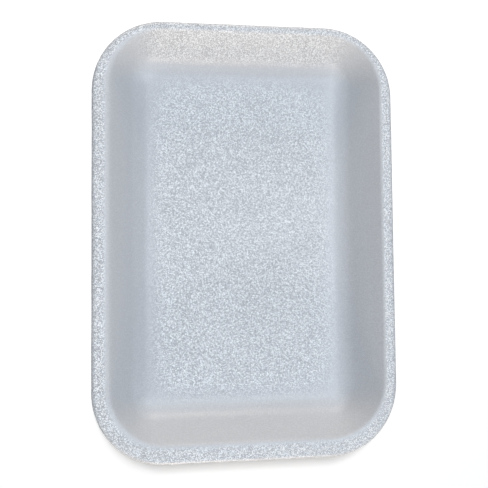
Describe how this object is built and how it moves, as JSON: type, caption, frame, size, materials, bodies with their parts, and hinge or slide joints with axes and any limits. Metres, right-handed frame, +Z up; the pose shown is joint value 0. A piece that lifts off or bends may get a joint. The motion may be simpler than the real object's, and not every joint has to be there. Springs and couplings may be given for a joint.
{
  "type": "foam meat tray",
  "caption": "Shallow rectangular food tray formed from white foam, with rounded corners, sloping walls, a flat floor and a narrow out-turned lip.",
  "frame": {"origin": "on the surface that the tray rests on, under the middle of the rim's rectangle", "axes": "+Z up out of the cavity, +Y along the tray's length towards the end with the narrow lip, +X across the tray"},
  "size_m": [0.146, 0.2096, 0.0254],
  "materials": {
    "white_foam": "white polystyrene foam, finely celled, with a slight glitter"
  },
  "bodies": {
    "root": {"foam_tray": "white_foam"}
  },
  "joints": []
}
